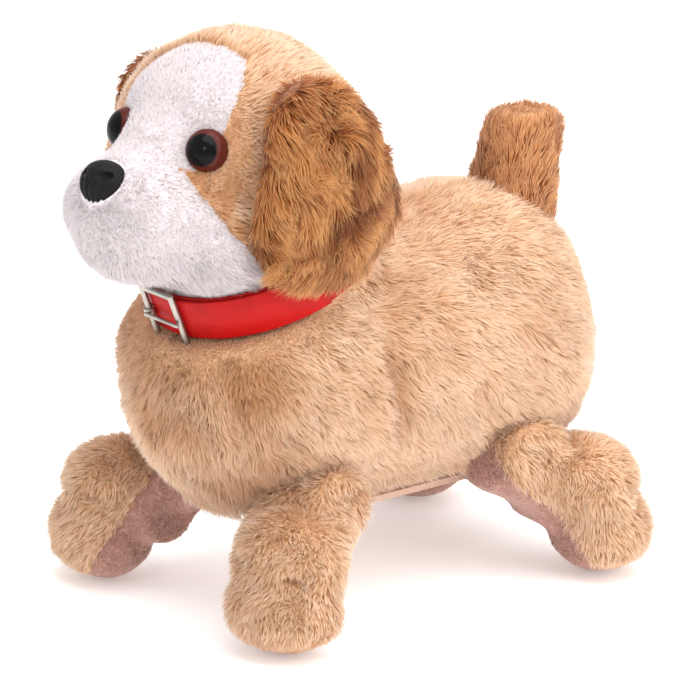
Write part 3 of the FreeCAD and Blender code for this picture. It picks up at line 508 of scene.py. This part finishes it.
PILE_PINK = dict(
    root=tint(160, 112, 100), body=tint(206, 164, 150), tip=tint(224, 190, 178), dye_and_painted_shade=tint(170, 122, 110))
pink_knit = knit_finish("pink_knit", tint(186, 140, 126))
pink_pile = pile_finish("pink_pile", sheen=0.5, **PILE_PINK)
panel = cloth("belly_cloth", skin, skin_faces, lambda p: on_belly(p) & ~on_door(p), pink_knit)
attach(panel, "body")
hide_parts("belly_panel")
roots = scatter(skin, skin_faces, 5.0, rng)
roots = roots[on_belly(roots) & ~on_door(roots)]
nap = pile("belly_nap", roots, slope_of(body_form, roots), np.broadcast_to((0, 1.0, 0), roots.shape), 1.8,
           pink_pile, rng, lift=0.7, tuft=0.2)
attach(nap, "body")


# ---------------------------------------------------------------- legs
# Each leg is a sleeve over its moulded frame: tan pile outside and pink velour behind and under the paw.
# The sleeve's top is sewn into the body.

AXLE_Y, AXLE_Z, MIDDLE_Y = -22.6, 50.0, 11.4
PAW_X, PAW_Y = 41.0, -45.1
SPLAY = math.radians(18.0)


def leg_form(p):
    """The front left leg, toes forward."""
    x, y = p[..., 0] - PAW_X, p[..., 1] - PAW_Y
    q = np.stack([
        (x * math.cos(SPLAY) + y * math.sin(SPLAY)) / 1.22,
        y * math.cos(SPLAY) - x * math.sin(SPLAY) + PAW_Y, p[..., 2]], -1)
    thigh = limb(q, (-8, AXLE_Y + 3, 35.5), (0, PAW_Y + 3.5, 26), 12.2, 11.4)
    shin = limb(q, (0, PAW_Y + 2.5, 27), (0, PAW_Y + 2, 19), 11.4, 11.4)
    paw = ball(q, (0, PAW_Y - 0.2, 12.9), (12.8, 13.2, 12.7))
    form = melt(melt(thigh, shin, 5), paw, 1.8)
    side_on = limb(p * (0, 1, 1), (0, AXLE_Y - 1, 38.5), (0, -36.8, 22.5), 8.8, 9.4)
    form = melt(form, -melt(-side_on, 9.0 - np.abs(p[..., 0] - 30.4), 3), 4)
    return form + drift(p, 15, 21)[..., 0] * 0.7 + crease(p, *ANKLE_FOLD) + crease(p, *HIP_FOLD)


ANKLE_FOLD = (28, PAW_Y - 10, 28), (56, PAW_Y - 2, 24), 2.2, 2.0
HIP_FOLD = (26, PAW_Y + 3, 38), (52, PAW_Y + 14, 41), 2.8, 2.2


def below_seam(p):
    """The side of the leg's seam that has the velour: the inside, the back of the shin and the sole."""
    inside, outside = np.maximum(38 - p[:, 0], 0), np.maximum(p[:, 0] - 44, 0)
    return p[:, 2] < -3 + (p[:, 1] - (PAW_Y - 15)) * 0.8 + inside * 1.5 - outside * 1.4


leg_skin, leg_faces = cast(leg_form, (14, -66, -1), (66, 0, 60), 1.6)
leg_skin[:, 2] = np.maximum(leg_skin[:, 2], 0.4)
for end, side in LEGS:
    flip = np.array((1 if side == "left" else -1, 1 if end == "front" else -1, 1))
    shift = np.array((0, 0 if end == "front" else 2 * MIDDLE_Y, 0))
    outward = flip[0] * flip[1]

    def stand(p, turn_only=False):
        return p * flip + (0 if turn_only else 1) * shift

    for part, keep, knit, fibre, per_mm2, length in (
        ("outer", lambda p: ~below_seam(p), tan_knit, tan_pile, 5.0, 4.2),
        ("inner", below_seam, pink_knit, pink_pile, 5.0, 1.7),
    ):
        chosen = leg_faces[keep(leg_skin[leg_faces].mean(1))]
        kept = chosen[body_form(stand(leg_skin[chosen].mean(1))) > -9]
        used, index = np.unique(kept, return_inverse=True)
        index = index.reshape(kept.shape)
        panel = make_mesh(f"{end}_{side}_leg_{part}_cloth", stand(leg_skin[used]),
                          (index if outward > 0 else index[:, ::-1]).ravel(), np.arange(len(index)) * 4, knit)
        roots = scatter(leg_skin, kept, per_mm2, rng)
        roots = roots[body_form(stand(roots)) > -3.5]
        normals = slope_of(leg_form, roots)
        under = np.clip((-0.3 - normals[:, 2]) / 0.5, 0, 1)
        nap = np.array((0.1, -0.35, -1.0)) * np.ones(roots.shape)
        # Painted shading in the ankle and hip folds and on the downward-facing underside.
        dye_and_painted_shade = 0.3 * crease(roots, *ANKLE_FOLD) + 0.25 * crease(roots, *HIP_FOLD) + 0.3 * under
        coat = pile(f"{end}_{side}_leg_{part}_pile", roots, normals, nap, length * (1 - 0.72 * under),
                    fibre, rng, width=0.26, dye_and_painted_shade=np.clip(dye_and_painted_shade, 0, 0.8), place=stand)
        for piece in (panel, coat):
            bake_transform(piece)
            "tan_plush" if part == "outer" else "pink_velour"
        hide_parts(f"{end}_{side}_leg_{part}")


# ---------------------------------------------------------------- collar
# A flat coated strap buckled at the front, its free end lying over the left side.
# The buckle is a bent wire frame with one prong.

STRAP_R, STRAP_THICK = 32.3, 1.2
across, ahead = np.array((1.0, 0, 0)), np.array((0, -NECK_AXIS[2], NECK_AXIS[1]))


def strap_band(radius, start, stop, half, steps=96):
    """A bevelled band round the neck between two angles, measured from the front towards the left."""
    turn = np.linspace(math.radians(start), math.radians(stop), steps)
    edge = STRAP_THICK * 0.3
    outline = [(-half + edge, 0), (-half, edge), (-half, STRAP_THICK - edge), (-half + edge, STRAP_THICK),
               (half - edge, STRAP_THICK), (half, STRAP_THICK - edge), (half, edge), (half - edge, 0)]
    rings = []
    for angle in turn:
        out = math.sin(angle) * across + math.cos(angle) * ahead
        rings.append([NECK_POINT + out * (radius + r) + NECK_AXIS * h for h, r in outline])
    points = np.array(rings).reshape(-1, 3)
    n = len(outline)
    quads = [(i * n + j, (i + 1) * n + j, (i + 1) * n + (j + 1) % n, i * n + (j + 1) % n)
             for i in range(steps - 1) for j in range(n)]
    corners = np.concatenate([np.array(quads).ravel(), np.arange(n), np.arange(n)[::-1] + (steps - 1) * n])
    starts = np.concatenate([np.arange(len(quads)) * 4, len(quads) * 4 + np.array([0, n])])
    return points, corners, starts


coated = Finish("red_strap", coat_weight=0.06, coat_roughness=0.25, specular_ior_level=0.18)
scuff, pores = coated.noise(9, 4.0), coated.noise(0.5, 2.0)
coated.dress(
    base_color=coated.mix(scuff.above(0.6, 0.2) * 0.6, tint(176, 5, 4), tint(142, 3, 3)),
    roughness=0.42 + 0.18 * scuff, normal=coated.bump(pores + scuff * 2.0, 0.04))
strap = make_mesh("collar_band", *strap_band(STRAP_R, 0, 360, STRAP_HALF), coated.material)
lap = make_mesh("collar_lap", *strap_band(STRAP_R + 1.4, -12, 84, STRAP_HALF - 0.3, 60), coated.material)
for piece in (strap, lap):
    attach(piece, "body")
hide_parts("collar_strap")
dress_nodes(machined("nickel_wire", tint(178, 172, 164), 0.3), "buckle_frame", "buckle_prong")


# ---------------------------------------------------------------- head skin
# A crown of tan pile in a left and a right piece round a white, very short-piled face and blaze.
# The padding fills out the skull, cheeks and muzzle, and the head looks a little to its left.

HEAD = np.array((0, -29.1, 130.0))
HEAD_TURN = math.radians(5.0)
MUZZLE = np.array((0, -68.6, 123.6))
NOSE_AXIS = unit(np.array((0, -0.70, 0.714)))
NOSE = MUZZLE + NOSE_AXIS * 14.3
EYES = [np.array((side * 17.3, -55.4, 141.5)) for side in (1, -1)]


def with_head(p, turn_only=False):
    """Turns points of the head about the neck."""
    axis = unit(NECK_AXIS)
    q = p if turn_only else p - NECK_POINT
    turned = (q * math.cos(HEAD_TURN) + np.cross(axis, q) * math.sin(HEAD_TURN)
              + (q @ axis)[..., None] * axis * (1 - math.cos(HEAD_TURN)))
    return turned if turn_only else turned + NECK_POINT


def head_form(p):
    skull = ball(p, HEAD, (36.2, 34.2, 34.6))
    muzzle = ball(p, MUZZLE, (20.5, 16.0, 15.0))
    bridge = limb(p, (0, -59, 135.5), (0, -71, 130), 11, 8)
    chin = ball(p, (0, -64, 114.5), (15.5, 16, 9.5))
    form = melt(skull, melt(melt(muzzle, chin, 6), bridge, 6), 8)
    for side in (1, -1):
        form = melt(form, ball(p, (side * 15, -52, 116), (14.5, 14, 13)), 8)
        form = form + 2.4 * np.exp(-(np.linalg.norm(p - EYES[0] * (side, 1, 1), axis=-1) / 8.0) ** 2)
    neck = limb(p, NECK_POINT, NECK_POINT + NECK_AXIS * 18, 29.5, 29)
    form = melt(form, neck, 5) + drift(p, 17, 31)[..., 0] * 0.5
    return np.maximum(form, STRAP_HALF - 0.6 - station(p))


def is_white(p):
    """The face piece: a blaze up the forehead, and everything in front of the cheek seams."""
    q = p - HEAD + drift(p, 4, 33) * 0.7
    blaze = (np.abs(q[:, 0]) < 19.5 * (1 - ((q[:, 1] + 20) / 22) ** 2)) & (q[:, 1] < -7.5)
    cheek = q[:, 1] < -32.2 + 0.018 * np.maximum(0, 6.4 - q[:, 2]) ** 2
    return np.where(q[:, 2] > 6.4, blaze | (q[:, 1] < -34), cheek)


skull, skull_faces = cast(head_form, (-46, -96, 92), (46, 14, 172), 1.8)
white_knit = knit_finish("white_knit", tint(236, 228, 230))
white_pile = pile_finish(
    "white_pile", root=tint(228, 216, 217), body=tint(238, 230, 231), tip=tint(246, 241, 242),
    dye_and_painted_shade=tint(168, 146, 156), patch_size=12, sheen=0.2, patches=0.1)
turned_skull = with_head(skull)
for name, keep, knit, node in (
    ("head_cloth_left", lambda p: (p[:, 0] > 0) & ~is_white(p), tan_knit, "head_skin_left"),
    ("head_cloth_right", lambda p: (p[:, 0] < 0) & ~is_white(p), tan_knit, "head_skin_right"),
    ("face_cloth", is_white, white_knit, "face_panel"),
):
    chosen = skull_faces[keep(skull[skull_faces].mean(1))]
    used, index = np.unique(chosen, return_inverse=True)
    panel = make_mesh(name, turned_skull[used], index.ravel(), np.arange(len(chosen)) * 4, knit)
    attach(panel, "body")
    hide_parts(node)
    "white_plush" if name == "face_cloth" else "tan_plush"


def clear_of_trim(p):
    """Keeps fibres off the eyes and the nose."""
    away = np.linalg.norm(p - NOSE, axis=1) > 7.1
    for eye in EYES:
        away &= np.linalg.norm(p - eye, axis=1) > 5.4
    return away


roots = scatter(skull, skull_faces, 4.6, rng)
roots = roots[clear_of_trim(roots) & ~is_white(roots)]
for side, sign in (("left", 1), ("right", -1)):
    mine = roots[roots[:, 0] * sign > 0]
    nap = unit(mine - NOSE) + np.array((0, 0.2, -0.55))
    near_eye = np.linalg.norm(mine - EYES[0] * (sign, 1, 1), axis=1)
    lengths = np.clip(2.0 + (near_eye - 6) * 0.2, 2.0, 5.0)
    brow = np.exp(-((near_eye - 9) / 6) ** 2)
    low = np.maximum(0, 6.4 - mine[:, 2] + HEAD[2])
    seam_line = np.exp(-((mine[:, 1] - HEAD[1] + 31 - 0.018 * low ** 2) / 2.0) ** 2) * (low > 0)
    streaks = np.clip(drift(mine, 3.5, 35)[:, 0], -0.2, 0.6)
    dye_and_painted_shade = np.clip(0.5 * brow + 0.6 * seam_line + streaks * (near_eye < 26), 0, 0.9)
    coat = pile(f"head_pile_{side}", mine, slope_of(head_form, mine), nap, lengths, tan_pile, rng,
                dye_and_painted_shade=dye_and_painted_shade, place=with_head)
    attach(coat, "body")
roots = scatter(skull, skull_faces, 9.0, rng)
roots = roots[clear_of_trim(roots) & is_white(roots)]
low_cheek = np.clip((116 - roots[:, 2]) / 12, 0, 1)
mouth = np.linalg.norm((np.abs(roots[:, 0]) - 9, roots[:, 1] + 63, (roots[:, 2] - 107.5) * 1.6), axis=0)
# The mouth is a dark grey mark of its own; the darkening low on the cheeks and chin is painted shading.
dye_and_painted_shade = 0.9 * np.exp(-(mouth / 5.0) ** 2) + 0.35 * low_cheek
over_strap = np.exp(-((station(roots) - 6) / 2.5) ** 2)
coat = pile("face_pile", roots, slope_of(head_form, roots), unit(roots - NOSE) + np.array((0, 0.1, -0.3)),
            2.0 + 2.6 * low_cheek + 2.5 * over_strap, white_pile, rng, width=0.24, tuft=0.2, stray=0.08,
            tuft_size=3.0, dye_and_painted_shade=dye_and_painted_shade, place=with_head)
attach(coat, "body")
points, faces = cast(lambda p: head_form(p) + WAD_DEPTH, (-42, -92, 96), (42, 10, 168), 3.0)
filling = make_mesh("head_wad", with_head(points), faces.ravel(), np.arange(len(faces)) * 4, wad.material)
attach(filling, "body")
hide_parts("head_padding")


# ---------------------------------------------------------------- eyes
# Domed safety eyes: clear gloss over a dark pupil, with a brown ring that shows at the rim.
# Each is pushed through the face and held by a toothed washer behind it.

for side, sign, eye in (("left", 1, EYES[0]), ("right", -1, EYES[1])):
    centre = with_head(HEAD + (-0.8 * sign, -0.4, -0.2))
    axis = unit(with_head(eye) - with_head(HEAD))
    glossy = Finish(f"{side}_eye_gloss", roughness=0.2, coat_weight=0.12, coat_roughness=0.02,
                    specular_ior_level=0.06)
    spot = glossy.node("ShaderNodeVectorMath", {"operation": "SUBTRACT"}, {
        0: glossy.place(), 1: tuple(centre / 1000)})
    across = glossy.node("ShaderNodeVectorMath", {"operation": "CROSS_PRODUCT"}, {0: spot, 1: tuple(axis)})
    radius = glossy.node("ShaderNodeVectorMath", {"operation": "LENGTH"}, {0: across}, out="Value") * 1000
    iris = glossy.mix(glossy.noise(1.2), tint(96, 40, 30), tint(66, 26, 20))
    ringed = glossy.mix(radius.above(4.6, 0.3), tint(9, 7, 8), iris)
    dress_nodes(glossy.dress(base_color=ringed), f"{side}_eye")


# ---------------------------------------------------------------- nose
# A moulded nose button with a fine leathery grain: a rounded triangle with two nostrils and a split lip.
# It is held through the muzzle like the eyes.

def nose_form(p):
    """The nose facing along -Y with its base at the origin."""
    x, z = p[..., 0], p[..., 2]
    wide = 7.4 + 0.09 * z
    even = np.ones(x.shape)
    form = ball(p / np.stack([wide / 7.2, even, even], -1), (0, 0.2, 0), (7.2, 6.6, 6.7))
    lower = np.clip((0.6 - z) / 1.5, 0, 1)
    for line, depth in ((0, 0.7), (2.4, 0.5), (4.6, 0.5)):
        form = form + depth * np.exp(-((np.abs(x) - line * (1 + 0.05 * z)) / 0.42) ** 2) * lower
    for side in (1, -1):
        form = -melt(-form, limb(p, (side * 2.7, -7.0, 0.8), (side * 4.8, -3.6, 2.2), 1.35, 1.0), 0.4)
    return np.maximum(form, p[..., 1] - 2.2)


nose, nose_faces = cast(nose_form, (-9, -8.5, -8.5), (9, 3.5, 8.5), 0.42)
tip_up = math.atan2(NOSE_AXIS[2], -NOSE_AXIS[1]) * 0.62
nose = np.stack([
    nose[:, 0], nose[:, 1] * math.cos(tip_up) + nose[:, 2] * math.sin(tip_up),
    nose[:, 2] * math.cos(tip_up) - nose[:, 1] * math.sin(tip_up)], 1)
grained = Finish("nose_grain", specular_ior_level=0.14)
grain = grained.noise(0.45, 3.0)
grained.dress(base_color=grained.mix(grain, tint(10, 9, 10), tint(26, 23, 24)), roughness=0.5 + 0.15 * grain,
              normal=grained.bump(grain, 0.07))
button = make_mesh("nose_button", with_head(nose + NOSE - NOSE_AXIS * 0.6), nose_faces.ravel(),
                   np.arange(len(nose_faces)) * 4, grained.material)
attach(button, "body")
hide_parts("nose")


# ---------------------------------------------------------------- ears
# Each ear is a flat lobe of long shaggy brown pile, sewn to the crown along its top edge.
# It hangs over the cheek, and its lining is the same cloth with the pile clipped short.

PILE_BROWN = dict(
    root=tint(124, 64, 26), body=tint(190, 116, 56), tip=tint(248, 198, 132), dye_and_painted_shade=tint(112, 52, 20))
brown_knit = knit_finish("brown_knit", tint(140, 82, 42))
brown_pile = pile_finish("brown_pile", patch_size=8, patches=0.6, **PILE_BROWN)
LEFT_LOBE = [(-38.6, 158), (-48, 149), (-53, 131), (-52, 114), (-42, 105), (-26, 103), (-9, 106), (-6, 121),
             (-11, 140), (-22, 155)]
RIGHT_LOBE = [(-27, 152), (-38, 149), (-37, 142), (-28, 132), (-23, 117), (-16, 107), (-4, 105),
              (5, 111), (7, 126), (0, 141), (-12, 150)]


def ear_form_at(outline, thickness):
    lobe = np.array(outline, float)
    middle = lobe.mean(0)
    turn = np.arctan2(lobe[:, 1] - middle[1], lobe[:, 0] - middle[0])
    waves = [np.cos(k * turn) for k in range(4)] + [np.sin(k * turn) for k in range(1, 4)]
    shares = np.linalg.lstsq(np.stack(waves, 1), np.linalg.norm(lobe - middle, axis=1), rcond=None)[0]

    def ear_form(p):
        """A curved pad that lies off the side of the head."""
        shell = np.abs(np.linalg.norm(p - HEAD, axis=-1) - 41.2 - thickness) - thickness
        flat = p[..., 1:] - middle
        angle = np.arctan2(flat[..., 1], flat[..., 0])
        reach = sum(share * np.cos(k * angle) for k, share in enumerate(shares[:4]))
        reach = reach + sum(share * np.sin(k * angle) for k, share in enumerate(shares[4:], 1))
        form = -melt(-shell, reach - np.linalg.norm(flat, axis=-1), 3.0)
        return np.maximum(form, 14 - p[..., 0])

    return ear_form


for side, sign, outline, thickness, shag in (
    ("left", 1, LEFT_LOBE, 2.4, 9.0), ("right", -1, RIGHT_LOBE, 1.6, 4.0),
):
    ear_form = ear_form_at(outline, thickness)
    flip = np.array((sign, 1, 1))

    def hang(p, turn_only=False):
        return with_head(p * flip, turn_only)

    lobe, lobe_faces = cast(ear_form, (12, -64, 94), (54, 20, 170), 1.6)
    faces = lobe_faces if sign > 0 else lobe_faces[:, ::-1]
    panel = make_mesh(f"{side}_ear_cloth", hang(lobe), faces.ravel(), np.arange(len(faces)) * 4, brown_knit)
    roots = scatter(lobe, lobe_faces, 4.6, rng)
    normals = slope_of(ear_form, roots)
    outer_face = np.clip((np.linalg.norm(roots - HEAD, axis=1) - 41.6) / (2 * thickness - 0.8), 0, 1)
    high = np.clip((roots[:, 2] - 128) / 28, -1, 1)
    nap = np.array((0.1, 0.1, -1.0)) + drift(roots, 14, 41) * 0.7
    nap[:, 1] += 0.5 * np.sin((roots[:, 1] + 29) / 9) * np.clip(-high + 0.4, 0, 1)
    stripe = np.exp(-((roots[:, 1] + 30 - (roots[:, 2] - 128) * 0.45) / 5.5) ** 2) * (roots[:, 2] > 122)
    wave = np.exp(-((roots[:, 2] - 121 - (roots[:, 1] + 45) * 0.25) / 3.5) ** 2)
    dye_and_painted_shade = np.clip(0.7 * stripe + 0.5 * wave + drift(roots, 5, 42)[:, 1] * 0.45, 0, 0.9)
    rear = np.clip((roots[:, 1] + 22) / 8, 0, 1) * np.clip((roots[:, 2] - 120) / 10, 0, 1)
    coat = pile(f"{side}_ear_pile", roots, normals, nap, 3.0 + (shag - 3.0) * outer_face * (1 - 0.6 * rear),
                brown_pile, rng, width=0.32, lift=0.34, tuft=0.8, tuft_size=6.0, dye_and_painted_shade=dye_and_painted_shade * (sign > 0),
                place=hang)
    for piece in (panel, coat):
        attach(piece, f"{side}_ear")
    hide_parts(f"{side}_ear")


# ---------------------------------------------------------------- tail
# A short padded stub of the brown pile, clipped flat at the top, standing in a slit sewn in the rump.

TAIL_FOOT, TAIL_TOP = np.array((0, 65.9, 84.0)), np.array((0, 74.9, 126.5))


def tail_form(p):
    stub = limb(p, TAIL_FOOT, TAIL_TOP, 12.4, 9.4) + drift(p, 10, 51)[..., 0] * 0.4
    return -melt(-stub, 123.5 - p[..., 2], 4)


stub, stub_faces = cast(tail_form, (-16, 46, 70), (16, 94, 134), 1.4)
panel = make_mesh("tail_cloth", stub, stub_faces.ravel(), np.arange(len(stub_faces)) * 4, brown_knit)
roots = scatter(stub, stub_faces, 4.6, rng)
roots = roots[body_form(roots) > -3]
top = np.clip((roots[:, 2] - 118) / 5, 0, 1)
pale_brown = pile_finish("pale_brown_pile", patch_size=9, patches=0.6, root=tint(150, 88, 46),
                         body=tint(216, 152, 98), tip=tint(244, 202, 152), dye_and_painted_shade=tint(150, 84, 42))
coat = pile("tail_pile", roots, slope_of(tail_form, roots), np.array((0, 0.2, 1.0)) * np.ones(roots.shape),
            6.0 - 1.5 * top, pale_brown, rng, width=0.34, lift=0.4, tuft=0.5, tuft_size=4.0)
for piece in (panel, coat):
    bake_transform(piece)
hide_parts("tail")


# ---------------------------------------------------------------- table, light and camera
# A plain white sweep under a large overhead softbox, with a key light ahead on the left and a long lens.

floor_finish = Finish("white_sweep", roughness=0.9, emission_color=(1, 1, 1, 1), emission_strength=0.22)
wash = floor_finish.noise(400)
floor_finish.dress(base_color=floor_finish.mix(wash, tint(250, 250, 250), tint(255, 255, 255)))
bpy.ops.mesh.primitive_plane_add(size=12)
floor = bpy.context.object
floor.name = "floor"
floor.data.materials.append(floor_finish.material)


def softbox(name, place, size, watts, aim=(0, 0.01, 0.08)):
    light = bpy.data.lights.new(name, "AREA")
    light.size, light.energy = size, watts
    lamp = bpy.data.objects.new(name, light)
    lamp.location = place
    lamp.rotation_mode = "QUATERNION"
    lamp.rotation_quaternion = (Vector(aim) - Vector(place)).to_track_quat("-Z", "Y")
    bpy.context.scene.collection.objects.link(lamp)


softbox("overhead", (0.3, 0.1, 1.7), 1.8, 31)
softbox("key", (1.4, 0.5, 0.8), 1.2, 12)
softbox("front", (0.8, -1.5, 1.1), 0.3, 2.5)
world = bpy.data.worlds.new("studio")
world.use_nodes = True
world.node_tree.nodes["Background"].inputs["Color"].default_value = (1, 1, 1, 1)
world.node_tree.nodes["Background"].inputs["Strength"].default_value = 0.95
bpy.context.scene.world = world
bpy.context.scene.view_settings.view_transform = "Standard"

AZIMUTH, ELEVATION, DISTANCE = math.radians(51.6), math.radians(18.1), 3.0
back = Vector((math.sin(AZIMUTH) * math.cos(ELEVATION), -math.cos(AZIMUTH) * math.cos(ELEVATION),
               math.sin(ELEVATION)))
right = Vector((math.cos(AZIMUTH), math.sin(AZIMUTH), 0))
aim = Vector((0, 0.01137, 0.07)) - right * 0.00307 - back.cross(right) * 0.00065
camera = bpy.data.cameras.new("camera")
VIEW_WIDTH = 0.1915
camera.sensor_width = 36
camera.lens = 36 * DISTANCE / VIEW_WIDTH
camera.clip_end = 50
viewer = bpy.data.objects.new("camera", camera)
viewer.location = aim + back * DISTANCE
viewer.rotation_mode = "QUATERNION"
viewer.rotation_quaternion = back.to_track_quat("Z", "Y")
bpy.context.scene.collection.objects.link(viewer)
bpy.context.scene.camera = viewer
